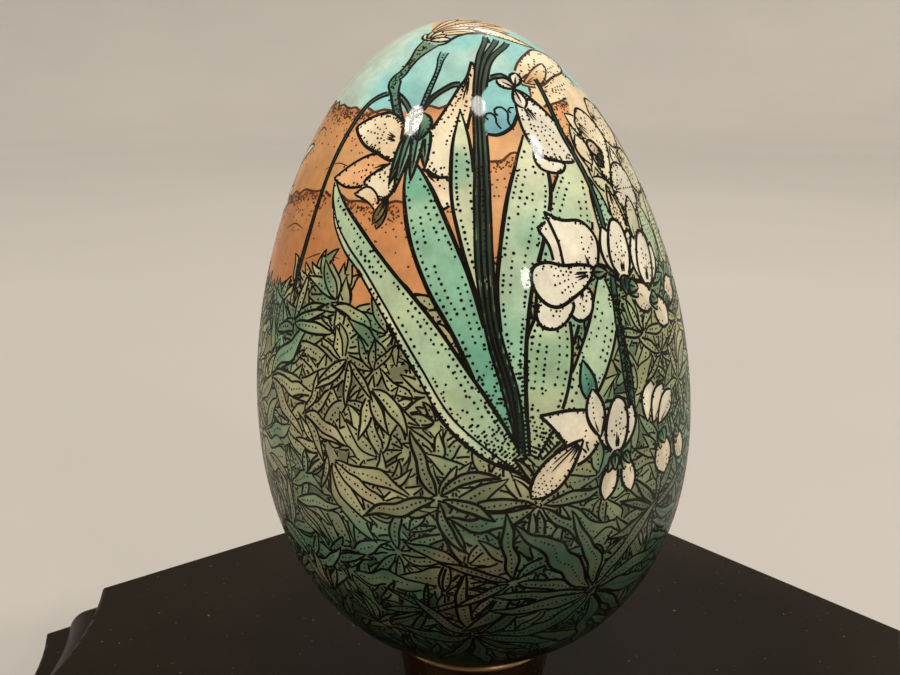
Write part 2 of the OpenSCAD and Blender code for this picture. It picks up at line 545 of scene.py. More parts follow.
def undergrowth():
    """Small leaves and grass behind the larger ones."""
    count = 3800
    h = 60 - 52 * rng.random(count) ** 1.1
    az = rng.uniform(-180, 180, count)
    for a, z in sorted(zip(az, h), key=lambda q: -q[1]):
        middle = 27 < z < 50
        if z > growth(a) - 0.8 or (middle and rng.random() < 0.45):
            continue
        long = rng.uniform(2.4, 5.2) * (1.3 if middle else 1)
        leaf((a, z), rng.normal(0, 60), long, long * rng.uniform(0.2, 0.34), rng.normal(0, 40), "lance",
             ink=0.22 if middle else 0.27, rib="none", fill=shaded(rng.uniform(0.8, 1.0)), ragged=0.4)


def foliage():
    """The dense low leaves all round, the nearer ones lower and larger."""
    sites = []
    h = 55.5
    while h > 3:
        size = np.interp(h, [4, 20, 32, 46, 56], [9.5, 8.8, 7.6, 6.4, 4.8])
        around = 2 * math.pi * math.sqrt(r2(h))
        n = max(5, int(around / (size * 0.85)))
        for k in range(n):
            az = (k + rng.uniform(0.1, 0.9)) * 360 / n - 180
            hh = h + rng.normal(0, size * 0.16)
            if hh < growth(az) - 0.8:
                sites.append((hh + rng.normal(0, 1.5), az, hh, size * rng.uniform(0.6, 1.3)))
        h -= size * 0.36
    for _, az, hh, size in sorted(sites, reverse=True):
        full = rng.random() < 0.14
        count = int(rng.integers(6, 9)) if full else int(rng.integers(3, 6))
        flow = 90 * math.sin(math.radians(az * 2.3) + hh * 0.11) + rng.normal(0, 35)
        rosette(az, hh, size, count, flow, 360 if full else rng.uniform(60, 130), rng.uniform(0.9, 1.08),
                rng.uniform(0.16, 0.25) + np.interp(hh, [22, 32], [0, 0.06]),
                np.interp(hh, [20, 30], [0.33, 0.27]))


def stem(pts, width, colour=INKY, ink=0.3, light=SAGE):
    """A stalk with two inked sides through chart points (az, h, share of the width)."""
    pts = [q if len(q) == 3 else (*q, 1.0) for q in pts]
    c = spline([q[:2] for q in pts])
    t = unit(np.gradient(c, axis=0))
    side = np.cross(normal(c), t)
    share = np.interp(np.linspace(0, 1, len(c)), np.linspace(0, 1, len(pts)), [q[2] for q in pts])
    half = (width / 2 * share * (1 + 0.12 * noise(c, 3, 5)))[:, None]
    a, b = c + side * half, c - side * half
    add_shape(np.vstack([a, b[::-1]]), wash(c[0], c[-1], colour, mix(colour, light, 0.3)))
    stroke(a, ink, (0.9, 0.6))
    stroke(b, ink, (0.9, 0.6))
    return c


def clump(shift, flip, drop):
    """Seven broad blades that spring from one root, with the stalks between them; drop lowers their tips."""
    place = moved(shift, flip)

    def m(pts):
        return place([(az, h - drop * np.interp(h, [36, 70], [0.4, 1])) for az, h in pts])

    left = [(-44, 66.8), (-43.2, 65.2), (-39.5, 62), (-34, 59.2), (-28, 56.8), (-21, 52.6), (-13, 46.8),
            (-7, 41.5), (1, 37.6), (9, 35.5)]
    for one, other, root_colour, tip_colour, rows, ink, root, pool in (
        ([(38, 67.8), (34, 67.4), (28, 65.6), (22, 62), (17, 56), (14, 49), (12, 43), (11.3, 37.5)],
         [(38, 67.8), (39, 65.6), (37.4, 62), (33, 57), (27, 51.5), (20, 45), (13.2, 37.5)],
         mix(TEAL, DEEP, 0.3), MINT, 4, 0.42, 0.36, mix(TEAL, MINT, 0.2)),
        ([(35, 55.6), (33, 54.4), (28, 50), (21, 44.5), (13, 38)],
         [(35, 55.6), (36.6, 53.6), (37, 50), (31, 44.5), (23, 40.3), (14, 36.8)],
         SAGE, mix(MINT, CREAM, 0.3), 5, 0.4, 0.36, mix(MINT, TEAL, 0.35)),
        ([(20, 56.5), (16.4, 53), (12.4, 49.5), (10, 43.5), (9.8, 38)],
         [(20, 56.5), (23, 53), (23.4, 48.4), (20, 42.5), (13, 37)],
         mix(SAGE, OLIVE, 0.3), MINT, 6, 0.42, 0.36, mix(SAGE, TEAL, 0.4)),
        ([(-17, 69), (-17.8, 67.4), (-17.6, 65), (-15, 60.5), (-10, 55.4), (-4, 50.4), (1, 45), (8, 37.5)],
         [(-17, 69), (-13, 67.6), (-8.5, 65), (-4, 61), (0, 56.5), (4, 49.5), (8.5, 41.5), (10.5, 37)],
         mix(TEAL, DEEP, 0.35), mix(TEAL, MINT, 0.45), 4, 0.5, 0.36, mix(TEAL, DEEP, 0.15)),
        ([(0, 73.6), (-1.4, 72.2), (-3.4, 69.6), (-3.8, 65), (-1.6, 60), (2, 54), (6, 46), (9.5, 37.5)],
         [(0, 73.6), (1.3, 72.2), (2.8, 69.6), (3.3, 65), (3.7, 60), (5.5, 54), (8, 46), (10.5, 37.5)],
         mix(SAGE, DEEP, 0.2), mix(MINT, CREAM, 0.3), 3, 0.44, 0.36, TEAL),
        ([(22, 71), (20, 69.9), (16.5, 67.8), (12, 64.4), (8.4, 59.5), (6.4, 54), (7.5, 46), (10, 37.5)],
         [(22, 71), (24.6, 69.6), (26.4, 67.4), (25.2, 64.2), (20.3, 59.8), (14.5, 54), (11.5, 46),
          (11.2, 37.5)],
         mix(TEAL, DEEP, 0.15), mix(MINT, CREAM, 0.35), 6, 0.5, 0.36, mix(TEAL, MINT, 0.35)),
        (left,
         [(-44, 66.8), (-41, 65.6), (-36, 63.8), (-29, 61.3), (-20, 57.6), (-9.5, 52.6), (0, 46), (7, 40),
          (10.5, 36)],
         mix(SAGE, MINT, 0.3), mix(MINT, TEAL, 0.25), 5, 0.46, 0.36, mix(TEAL, MINT, 0.5)),
        # the folded edge of that blade
        (left[1:-1],
         [(-43.2, 65.2), (-38.8, 62.3), (-33, 59.7), (-26.8, 57.2), (-19.6, 53), (-11.8, 47.4),
          (-5.7, 42.4), (1.6, 38.7), (8, 36)],
         MINT, mix(MINT, CREAM, 0.6), 1, 0.28, 0.1, TEAL),
    ):
        blade(m(one), m(other), root_colour, tip_colour, rows, ink, root, pool)
    for off in (-1.0, 0.0, 1.0):
        stem(m([(9.6, 37.5), (8 + off, 44), (4.8 + off, 51), (4 + off * 1.4, 57), (5 + off * 1.5, 65),
                (7.4 + off * 1.4, 73.5), (11 + off * 2, 77.2), (17 + off * 3.4, 79.4 - 0.2 * off),
                (31 + off * 7, 81.2 - 0.4 * off)]), 0.6)
    for off in (-0.6, 0.5):
        line = spline(m([(9.6, 37.5), (8 + off, 44), (4.8 + off, 51), (4 + off, 58), (5 + off, 68)]))
        dotted(line, 0.55, 0.14, 0.2)


def left_flower(put, place, flip):
    """A flower that hangs at the left: wide stippled petals round a dark cup of long spurs."""
    tint = mix(PEACH, CREAM, 0.45)
    for outline, base, c0, c1, ink, veins, rim in (
        ([(-22, 68.8), (-22, 68.8), (-30, 69.4), (-38, 68.4), (-45, 66.8), (-45, 66.8), (-38, 65.9),
          (-30, 66.2), (-24, 67.2)], (-23, 68.4), ORANGE, mix(ORANGE, PEACH, 0.7), 0.32, 4, 60),
        ([(-21, 72.6), (-21, 72.6), (-27, 73.7), (-34, 73.5), (-42.5, 72.3), (-42.5, 72.3), (-36, 70.5),
          (-29, 69.5), (-22, 68.8)], (-22, 70.8), tint, CREAM, 0.38, 6, 110),
        ([(-21, 68.8), (-21, 68.8), (-26, 67.9), (-31.5, 66.6), (-29, 65.6), (-24, 64.6), (-20.4, 66.2)],
         (-21, 68.4), tint, CREAM, 0.36, 4, 60),
        ([(-34.5, 65.2), (-34.5, 65.2), (-30, 66.0), (-26, 65.0), (-25.5, 63.4), (-29, 64.4)],
         (-26, 64.6), PEACH, CREAM, 0.28, 2, 8),
    ):
        petal(put, outline, base, c0, c1, ink, veins, rim)
    for ang, long in ((196, 3.6), (208, 3.2)):
        leaf(*place([(-22.5, 64.8)]), ang * flip, long, 1.1, 0, "round", OCHRE, mix(OCHRE, DARK, 0.6), 0.26,
             3, "line", 0.8)
    for az, h, ang, long, wide in ((-18.0, 71.6, 198, 6.6, 1.2), (-12.4, 72.0, 180, 5.0, 1.2),
                                   (-16.4, 72.2, 194, 8.0, 1.2), (-14.2, 72.2, 188, 6.6, 1.3)):
        leaf(*place([(az, h)]), ang * flip, long, wide, -4 * flip, "drop", TEAL, mix(OLIVE, DEEP, 0.3), 0.36,
             1, "line", 0.7, rim=16)
    leaf(*place([(-15, 70.6)]), 4 * flip, 3.6, 2.6, 0, "round", DEEP, mix(TEAL, SAGE, 0.6), 0.34, 3, "line",
         rim=26)


def drooper(put, place, flip):
    """A flower that looks down: cream petals above, long white ones below, and a hooded heart."""
    for outline, base, c0, c1, ink, veins, rim, tone in (
        ([(32, 76), (32, 76), (50, 77.8), (64, 77.2), (67, 75.4), (56, 74.6), (42, 73.8), (31, 73.6)],
         (33, 75), mix(OCHRE, CREAM, 0.6), CREAM, 0.30, 5, 26, 1),
        ([(25, 76.4), (25, 76.4), (32, 78.2), (43, 79.3), (58, 79.9), (74, 78.8), (68, 77.4), (50, 76.6),
          (36, 75.6)], (26, 76.2), mix(OCHRE, CREAM, 0.8), CREAM, 0.32, 6, 34, 1),
        ([(30, 76.2), (30, 76.2), (40, 77.6), (52, 78.2), (46, 76.8), (38, 75.9)], (30, 76), OCHRE, CREAM,
         0.24, 2, 10, 1),
        ([(24, 69.6), (24, 69.6), (29, 68.8), (33.6, 67.6), (31, 66.4), (25, 66.8), (22.8, 68)], (24, 69.2),
         CREAM, WHITE, 0.34, 3, 40, 0),
        ([(23.4, 75.6), (23.4, 75.6), (29, 74.8), (35, 72.4), (39, 69.2), (37.4, 67.4), (31, 67.6),
          (26, 68.2), (22.6, 70), (21.6, 72.6)], (23.6, 75), WHITE, mix(WHITE, CREAM, 0.4), 0.38, 6, 150, 0),
    ):
        petal(put, outline, base, c0, c1, ink, veins, rim, tone)
    for az, h, ang, long, wide in ((25, 75.6, -50, 2.4, 1.5), (25, 75.8, 24, 2.2, 1.4),
                                   (24, 75.6, 172, 2.8, 1.6)):
        leaf(*place([(az, h)]), ang * flip, long, wide, 0, "round", CREAM, WHITE, 0.36, 1, "line", rim=8)


def curls(az, h, flip):
    """Three curled fronds that stand side by side."""
    degrees_per_mm = 3.4
    for right_mm, up_mm, rot, size in ((-0.3, -1.8, -92, 0.95), (1.0, -2.0, -84, 1.3), (2.0, -1.4, -78, 0.9)):
        put = sheet_of(az + flip * degrees_per_mm * right_mm, h + up_mm, rot * flip, size)
        line = smooth([(0, 0), (0.8, 0.4), (1.7, 0.3), (2.3, 0.9), (1.9, 1.5), (1.4, 1.2)], False, 5)
        stroke(put(line), 0.26, (0.8, 1))


def pea(az, h, flip):
    """A pea blossom: a raised standard, a slipper in front of it, and a frilled edge below."""
    size = 0.76
    put = sheet_of(az, h, 0, size, flip)
    for outline, base, ink, veins, rim in (
        ([(-3.8, -3.2), (-4.9, -5.4), (-3.4, -7.0), (-1.4, -6.2), (-0.6, -4.0), (-1.2, -2.4)],
         (-2.2, -2.6), 0.38, 4, 26),
        ([(-6.4, -2.6), (-8.6, -3.0), (-10.2, -4.4), (-9.8, -6.6), (-7.6, -7.4), (-5.4, -6.4), (-4.0, -4.2)],
         (-5.0, -3.0), 0.38, 5, 34),
        ([(-7.2, 7.2), (-7.2, 7.2), (-5.0, 7.8), (-4.0, 4.2), (-3.6, 0.8), (-5.6, 1.0), (-5.9, 4.4)],
         (-4.0, 0.8), 0.38, 2, 16),
        ([(-5.4, 9.4), (-5.4, 9.4), (-3.0, 7.8), (0.4, 7.2), (2.4, 4.4), (1.8, 1.2), (0.2, -0.4),
          (-2.6, 0.4), (-4.2, 0.6), (-4.4, 5.0)], (0.0, 0.0), 0.40, 6, 30),
        ([(0.6, 0.2), (-1.6, 1.0), (-4.4, 1.3), (-7.0, 2.2), (-9.2, 1.8), (-9.9, -0.6), (-8.8, -3.2),
          (-6.6, -4.4), (-3.6, -3.4), (-1.0, -2.0)], (0.4, -0.4), 0.42, 6, 40),
    ):
        petal(put, outline, base, mix(CREAM, WHITE, 0.6), WHITE, ink, veins, rim)
    leaf(put((0.4, -0.4))[0], 96 * flip, 2.8 * size, 1.9 * size, 0, "drop", DEEP, SAGE, 0.36, 1, "line")


def cup(az, h, rot, size):
    """A half-closed flower of three overlapping petals."""
    put = sheet_of(az, h, rot, size)
    for outline, base, ink, veins, rim in (
        ([(0.4, 0), (2.2, 1.2), (3.2, 3.4), (2.6, 5.6), (2.6, 5.6), (1.0, 4.4), (0.2, 2.2)], (0.6, 0),
         0.42, 3, 12),
        ([(-0.4, 0), (-2.4, 1.4), (-3.0, 3.6), (-2.2, 6.0), (-2.2, 6.0), (-0.6, 4.6), (0, 2.2)], (-0.6, 0),
         0.42, 3, 12),
        ([(0, -0.4), (-1.6, 1.4), (-1.6, 4.0), (-0.4, 6.6), (1.2, 6.2), (1.8, 3.8), (1.4, 1.2)], (0, 0),
         0.44, 4, 16),
    ):
        petal(put, outline, base, mix(CREAM, WHITE, 0.55), WHITE, ink, veins, rim)
    leaf(put((0, 0.2))[0], rot + 180, 2.4 * size, 1.7 * size, 0, "drop", INKY, DEEP, 0.36, 0, "line")


def bud(az, h, angle, long, wide, c0=mix(PEACH, CREAM, 0.5), c1=mix(CREAM, WHITE, 0.5)):
    """A closed bud between two small sepals."""
    leaf((az, h), angle, long, wide, 0, "round", mix(c0, c1, 0.4), c1, 0.44, 3, "none", 0.93, rim=14)
    for a, k in ((14, 0.42), (-16, 0.36)):
        leaf((az, h), angle + a, long * k, wide * 0.5, 0, "drop", DEEP, SAGE, 0.34, 0, "line", 0.8)


def crown():
    """Long narrow petals that sweep from a spur's cup over the tip of the egg."""
    for ang, long, wide in ((8, 6.5, 1.5), (26, 8.5, 1.6), (42, 9.8, 1.5), (58, 9.5, 1.5), (72, 8, 1.3)):
        leaf((-20, 82.1), ang, long, wide, rng.normal(0, 8), "strap", mix(OCHRE, PEACH, 0.4), CREAM, 0.26, 1,
             "none", 0.96, tone=1)
    petal(chart(0, 1), [(14, 82.9), (14, 82.9), (36, 82.5), (50, 81.6), (62, 80.0), (62, 80.0), (48, 80.7),
                        (34, 81.6), (20, 82.3)], (14, 82.7), CREAM, PEACH, 0.26, 3, 10, 1)
    for ang, long in ((-34, 2.0), (-6, 2.2), (24, 2.4), (56, 2.2), (84, 2.6)):
        leaf((-21, 81.5), ang, long, 1.1, 0, "petal", OCHRE, CREAM, 0.3, 0, "none", 1, rim=5)


def far_flowers(shift, flip):
    """The stalks and petals that lie behind one clump of blades."""
    put, place = chart(shift, flip), moved(shift, flip)
    for line in (
        [(-52, 54), (-49.8, 61), (-48.2, 68), (-45, 72.5), (-40, 75), (-30, 75.8), (-22, 74.6), (-17, 72.5)],
        [(-15.5, 73.6), (-11.5, 75), (-5.5, 76), (-0.5, 76.4), (7, 75.8)],
        [(7, 75.6), (13, 76.7), (20.5, 77.1), (24, 76.4)],
    ):
        stem(place(line), 0.5, INKY, 0.32)
    if shift == 0:
        crown()
        stroke(spline([(23.5, 80.8), (25, 82), (11.5, 82.1), (-1, 81.7), (-9, 80.9), (-16, 80.9)]), 0.42,
               (1, 0.7))
    spur = [(-22, 72.5, 0.7), (-24.5, 73.6, 0.8), (-28, 75.3, 0.8), (-31, 76.8, 0.9), (-31.4, 77.4, 1.5),
            (-29, 77.9, 1.1), (-27.5, 78.6, 0.8), (-25, 79.8, 1.0), (-22.5, 80.6, 1.7), (-19, 81.2, 2.2)]
    line = stem(place(spur), 1.1, mix(DEEP, TEAL, 0.3), 0.32, OCHRE)
    for _ in range(90):
        q = line[rng.integers(0, len(line))]
        stipple((q + rng.normal(0, 0.28, 3))[None], DOT)
    spur = [(-15.5, 73.8, 0.8), (-14, 75, 0.8), (-12.5, 76.2, 0.7), (-9.8, 78.2, 0.6), (-9, 79.3, 0.8),
            (-7.4, 80, 1.5)]
    dotted(stem(place(spur), 0.62, mix(DEEP, SKY, 0.4), 0.26, SKY), 0.5, 0.12)
    petal(put, [(7.5, 78.8), (7.5, 78.8), (3.6, 77), (-0.5, 75.8), (-6.5, 73.4), (-11.4, 71.2), (-13, 69),
                (-9.5, 67.2), (-3, 66.6), (0, 69.6), (3, 72.4), (6, 75), (9.4, 77.4)], (6, 78),
          mix(PEACH, CREAM, 0.4), CREAM, 0.38, 5, 130)
    petal(put, [(-12.5, 67.8), (-12.5, 67.8), (-8.5, 66.8), (-3, 66.6), (-2, 64.8), (-7, 63.4), (-12, 64.6)],
          (-12, 67.4), mix(PEACH, CREAM, 0.3), CREAM, 0.34, 3, 50)


def near_flowers(shift, flip):
    """The flowers, buds and leaves that lie in front of one clump of blades."""
    put, place = chart(shift, flip), moved(shift, flip)

    def a(az):
        return across(shift, flip, az)

    left_flower(put, place, flip)
    pond = [(9.4, 75.2), (9, 73.6), (8.8, 71), (12, 70.8), (15.5, 71.1), (19, 71.8), (21.6, 73), (22, 75.2),
            (15, 75.8)]
    add_shape(put(smooth(pond)), wash(put((15, 75))[0], put((14, 71))[0], SKY, mix(SKY, BLUE, 0.8)))
    stroke(put(smooth(pond[2:7], False)), 0.46, (0.8, 0.4))
    curls(a(15), 73.2, flip)
    drooper(put, place, flip)
    # a bank of pale leaves, and the larger petals on it
    bank = [(36, 55.6), (37, 62), (40, 68), (46, 72.4), (54, 75), (64, 75.6), (76, 74), (82, 66), (80, 56),
            (60, 54.6), (46, 55)]
    add_shape(put(smooth(bank, True, 4)),
              wash(put((46, 72))[0], put((60, 57))[0], mix(PEACH, CREAM, 0.6), mix(SAGE, CREAM, 0.35),
                   pool=mix(OCHRE, CREAM, 0.4)))
    for _ in range(34):
        light = CREAM if rng.random() < 0.6 else mix(MINT, CREAM, 0.3)
        leaf(put((rng.uniform(42, 79), rng.uniform(54, 70)))[0], rng.normal(0, 30), rng.uniform(3.6, 6.6),
             rng.uniform(1.5, 2.6), rng.normal(0, 24), "petal", mix(light, OCHRE, 0.25), light, 0.3, 2,
             "none", 1, rim=12)
    for outline, light in (
        ([(60, 72.4), (60, 72.4), (66, 74), (74, 73.2), (76, 70.4), (70, 68.4), (63, 68.4), (60, 70)], CREAM),
        ([(46, 71.5), (46, 71.5), (52, 73), (58, 72), (60, 69.4), (55, 66.8), (50, 64.4), (50, 64.4),
          (47, 67)], CREAM),
        ([(64, 67.6), (64, 67.6), (72, 68), (78, 66), (74, 63.2), (67, 62.8), (63, 65)],
         mix(CREAM, MINT, 0.5)),
        ([(50, 63.8), (50, 63.8), (54, 66.2), (60, 66.6), (64, 65), (62, 61.8), (55, 60.8), (51, 62)], WHITE),
        ([(40.4, 66), (40.4, 66), (43.4, 63.6), (44.6, 60.4), (43.6, 57.4), (40.4, 56.6), (38.8, 59),
          (38.8, 62.6)], MINT),
        ([(47.6, 64.6), (47.6, 64.6), (50, 61.6), (49.6, 58), (46.4, 56.4), (45, 59), (45.4, 62.6)], CREAM),
    ):
        root = mix(TEAL, MINT, 0.3) if light == MINT else mix(light, OCHRE, 0.25)
        petal(put, outline, outline[0], root, light, 0.34, 5, 60)
    # a thick dotted stalk, a thin one, and what hangs from them
    stem(place([(38, 76.5, 0.7), (37, 71, 0.7), (40, 65.6, 0.8), (40.4, 60.5, 0.9), (39, 55.8, 1.0),
                (37.6, 50.5, 1.3), (38, 44.5, 1.9), (38.6, 38.5, 1.5)]),
         0.66, mix(INKY, DEEP, 0.5), 0.3, TEAL)
    for _ in range(420):
        stipple(at(*place([(38 + rng.normal(0, 0.55), rng.uniform(40, 53))])[0])[None], DOT)
    stem(place([(31.5, 56.2), (36, 56), (40, 55), (46, 53.8), (53, 53)]), 0.6, INKY, 0.34)
    pea(a(32), 56.0, flip)
    for az, h, ang in ((49, 66.4, 20), (52, 67.2, -30)):
        bud(a(az), h, ang * flip, 3.0, 1.8, (0.50, 0.28, 0.22), CREAM)
    for az, h, ang, long, wide, c0, c1, kind, rib in (
        (64, 54, -10, 8.5, 3.2, TEAL, MINT, "petal", "none"),
        (60, 54, -24, 7, 2.6, SAGE, MINT, "petal", "none"),
        (70, 54, 4, 10, 3.0, SAGE, MINT, "strap", "dots"),
        (53, 57, 10, 6.5, 2.6, SAGE, CREAM, "petal", "none"),
    ):
        leaf((a(az), h), ang * flip, long, wide, 8 * flip, kind, mix(c0, c1, 0.4), c1, 0.36, 3, rib, 0.95,
             rim=12)
    cup(a(43), 54.6, 6 * flip, 0.98)
    cup(a(52.5), 53, 14 * flip, 0.95)
    bud(a(44), 53.6, 128 * flip, 5.0, 3.4)
    bud(a(52.5), 51.8, 142 * flip, 5.2, 3.4)
    bud(a(60), 50, 60 * flip, 5.0, 3.2)
    # low flowers at the roots
    leaf((a(27), 42), -8 * flip, 5.0, 2.0, 0, "lance", DEEP, TEAL, 0.36)
    petal(sheet_of(a(20.5), 40.4, 0, 1, flip),
          [(-3.2, 1.2), (-3.2, 1.2), (0.4, 1.3), (3.2, 0.6), (4.2, -1.8), (2.6, -4.2), (0.2, -4.9),
           (-0.4, -2.6), (-1.8, -0.4)], (2.4, -4), CREAM, WHITE, 0.42, 4, 40)
    cup(a(33), 35.9, 4 * flip, 0.92)
    leaf((a(28.6), 38), -12 * flip, 5.6, 2.4, 10, "petal", CREAM, WHITE, 0.42, 2, "none", 0.95, rim=8)
    bud(a(32.4), 35.6, 196 * flip, 5.4, 2.4)
    bud(a(35.2), 35.6, 168 * flip, 5.2, 2.2)
    for k in range(3):
        leaf((a(43.5 + 2.2 * k), 38 - 0.4 * k), (8 + 16 * k) * flip, 4.8, 2.8, 14, "round", CREAM, WHITE,
             0.42, 3, "none", 0.94, rim=8)
    bud(a(49), 36.4, 172 * flip, 5.8, 3.8)
    bud(a(56), 35.4, 150 * flip, 5.0, 3.0)
    leaf((a(24), 38.2), -128 * flip, 8.6, 3.4, -8, "round", mix(PEACH, CREAM, 0.7), CREAM, 0.44, 4, "none",
         0.94, rim=46)


def draw():
    """Draws everything, from the hills at the back to the nearest flowers."""
    hills()
    undergrowth()
    foliage()
    for az, h, size, turn, spread in (
        (-60, 44, 9.5, 84, 110), (-50, 51, 6, 60, 90), (-35, 36.5, 10.5, 140, 110), (-36, 37, 5.5, -110, 150),
        (-50, 30, 7.5, 120, 90), (-24, 45, 6, 160, 90), (-44, 41, 6.5, 90, 120), (-30, 48, 5.5, 200, 120),
        (52, 45, 5.5, 0, 320), (60, 41, 6.5, 40, 320), (46, 48, 5, 0, 200), (66, 47.5, 6, 0, 300),
        (56, 32, 6.5, 0, 320),
    ):
        rosette(az, h, size, 5, turn, spread, 1.04, 0.2, 0.31, 0.95)
    # the clump at the front, and its like at both sides of the back
    for shift, flip in ((0, 1), (138, -1), (-140, 1)):
        far_flowers(shift, flip)
        clump(shift, flip, 0 if shift == 0 else 3)
        # nearer rosettes in front of the roots
        for az, h, size, count, turn in ((13, 31.5, 9.5, 7, 10), (-9, 33, 8.5, 5, -70), (47, 27, 8.5, 7, 0),
                                         (-3, 14, 11, 9, 0), (7, 22, 10, 7, 20), (29, 18.5, 14.5, 10, 8)):
            rosette(shift + flip * az, h, size, count, turn, 360, 0.92, 0.16, 0.37, 0.85)
        near_flowers(shift, flip)


def visible(points, n, order):
    """Marks the points that no later shape covers."""
    seen = np.ones(len(points), bool)
    rank = np.argsort(points[:, 2], kind="stable")
    z = points[rank, 2]
    p, m, o = points[rank], n[rank], order[rank]
    ok = seen[rank]
    for k, shape in enumerate(shapes):
        i, j = np.searchsorted(z, shape["z"])
        if i < j:
            hit = inside(shape, p[i:j], m[i:j]) + i
            ok[hit[o[hit] <= k]] = False
    seen[rank] = ok
    return seen


# ---------------------------------------------------------------- meshes
def mesh_piece(name, verts, faces, normals, material, body, sizes=None):
    """A mesh from arrays: faces has one row for each face, or is flat, with the faces' sizes."""
    me = bpy.data.meshes.new(name)
    flat = np.asarray(faces).reshape(-1)
    if sizes is None:
        sizes = np.full(len(faces), np.asarray(faces).shape[1])
    starts = np.concatenate([[0], np.cumsum(sizes)[:-1]])
    me.vertices.add(len(verts))
    me.vertices.foreach_set("co", np.asarray(verts, np.float32).reshape(-1))
    me.loops.add(len(flat))
    me.loops.foreach_set("vertex_index", flat.astype(np.int32))
    me.polygons.add(len(sizes))
    me.polygons.foreach_set("loop_start", starts.astype(np.int32))
    me.polygons.foreach_set("use_smooth", np.ones(len(sizes), bool))
    me.update(calc_edges=True)
    me.validate()
    me.normals_split_custom_set_from_vertices(np.asarray(normals, np.float32))
    me.materials.append(material)
    ob = bpy.data.objects.new(name, me)
    bpy.context.scene.collection.objects.link(ob)
    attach(ob, body)
    return ob


def painted_skin(material):
    """The washes under their varnish: one film over the shell, open round the blow hole."""
    cols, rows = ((540, 320))
    # rings of points, from just outside the blow hole up to the tip
    gap = 0.15
    hs = np.linspace(0, 4, 4000)
    h0 = np.interp(HOLE_R + gap, np.sqrt(r2(hs)), hs)
    t = np.linspace(math.acos(1 - 2 * h0 / EGG_L), math.pi, rows + 1)[:-1]
    h = EGG_L / 2 * (1 - np.cos(t))
    az = np.arange(cols) * 360 / cols
    p = np.vstack([at(np.tile(az, rows), np.repeat(h, cols)), [0, 0, EGG_L]])
    n = normal(p)
    n[-1] = (0, 0, 1)
    # the colour of each point: the ground, then each shape over it, then a light mottle
    colour = ground(p)
    rank = np.argsort(p[:, 2], kind="stable")
    z, ps, ns, cs = p[rank, 2], p[rank], n[rank], colour[rank]
    for shape in shapes:
        i, j = np.searchsorted(z, shape["z"])
        hit = inside(shape, ps[i:j], ns[i:j]) + i
        if len(hit):
            cs[hit] = shape["colour"](ps[hit])
    colour[rank] = cs
    colour *= 1 + 0.07 * noise(p, 4.0, 4)[:, None] + 0.05 * noise(p, 1.6, 6)[:, None]
    # four-sided faces between the rings, and three-sided ones round the tip
    i = np.arange(rows - 1)[:, None] * cols
    j = np.arange(cols)[None]
    k = (j + 1) % cols
    quads = np.stack([i + j, i + k, i + cols + k, i + cols + j], -1)
    last = (rows - 1) * cols
    caps = np.stack([last + j[0], last + k[0], np.full(cols, len(p) - 1)], -1)
    corners = np.concatenate([quads.reshape(-1), caps.reshape(-1)])
    ob = mesh_piece("painted_skin", placed(p + n * FILM), corners, turned(n), material, "egg",
                    np.repeat([4, 3], [quads.size // 4, cols]))
    rgba = np.ones((len(p), 4), np.float32)
    rgba[:, :3] = np.clip(colour, 0, 1) ** 2.2
    ob.data.attributes.new("wash", "FLOAT_COLOR", "POINT").data.foreach_set("color", rgba.reshape(-1))


def ink_pieces(materials):
    """Every visible stroke and dot, as flat ink on top of the film, black first and then sepia."""
    p, w = (np.concatenate([s[k] for s in strokes]) for k in (0, 1))
    o, tone = (np.concatenate([np.full(len(s[0]), s[k]) for s in strokes]) for k in (2, 3))
    first = np.concatenate([np.arange(len(s[0])) == 0 for s in strokes])
    tangent = np.concatenate([unit(np.gradient(s[0], axis=0)) for s in strokes])
    n = normal(p)
    seen = visible(p, n, o)
    side, lift = np.cross(n, tangent) * (w / 2)[:, None], n * LINE_LIFT
    v = np.stack([p + side + lift, p - side + lift], 1).reshape(-1, 3)
    vn = np.repeat(n, 2, 0)
    # a face from each visible point to the next one of its stroke, at most so many in a piece
    a = np.nonzero(seen[:-1] & seen[1:] & ~first[1:])[0]
    quads = np.stack([2 * a + 1, 2 * a + 3, 2 * a + 2, 2 * a], 1)
    most = 90000
    for which, name in enumerate(("ink_lines", "sepia_lines")):
        chosen = quads[tone[a] == which]
        for k in range(0, len(chosen), most):
            used, q = np.unique(chosen[k : k + most], return_inverse=True)
            mesh_piece(f"{name}_{k // most + 1}", placed(v[used]), q.reshape(-1, 4), turned(vn[used]),
                       materials[which], "egg")
    p, r, o, tone = (np.concatenate(part) for part in zip(*dots))
    n = normal(p)
    seen = visible(p, n, o)
    p, r, n, tone = p[seen], r[seen], n[seen], tone[seen]
    e1 = unit(np.cross(n, [0.2, 0.3, 1.0]))
    e2 = np.cross(n, e1)
    corners, most = 7, 35000
    spin = rng.uniform(0, 6.28, len(p))[:, None] + np.radians(np.arange(corners) * 360 / corners)
    around = np.cos(spin)[..., None] * e1[:, None] + np.sin(spin)[..., None] * e2[:, None]
    v = p[:, None] + around * r[:, None, None] + n[:, None] * DOT_LIFT
    vn = np.repeat(n[:, None], corners, 1)
    for which, name in enumerate(("ink_dots", "sepia_dots")):
        vs, ns = v[tone == which], vn[tone == which]
        for k in range(0, len(vs), most):
            verts, normals = vs[k : k + most].reshape(-1, 3), ns[k : k + most].reshape(-1, 3)
            mesh_piece(f"{name}_{k // most + 1}", placed(verts), np.arange(len(verts)).reshape(-1, corners),
                       turned(normals), materials[which], "egg")
    print("ink:", len(quads), "line faces,", len(p), "dots,", len(shapes), "shapes")


# ---------------------------------------------------------------- materials
# Noise scales are in cells per metre, and the distances of bumps in metres.
COLOUR_A, COLOUR_B, COLOUR_OUT = 6, 7, 2  # the colour sockets of a mix node


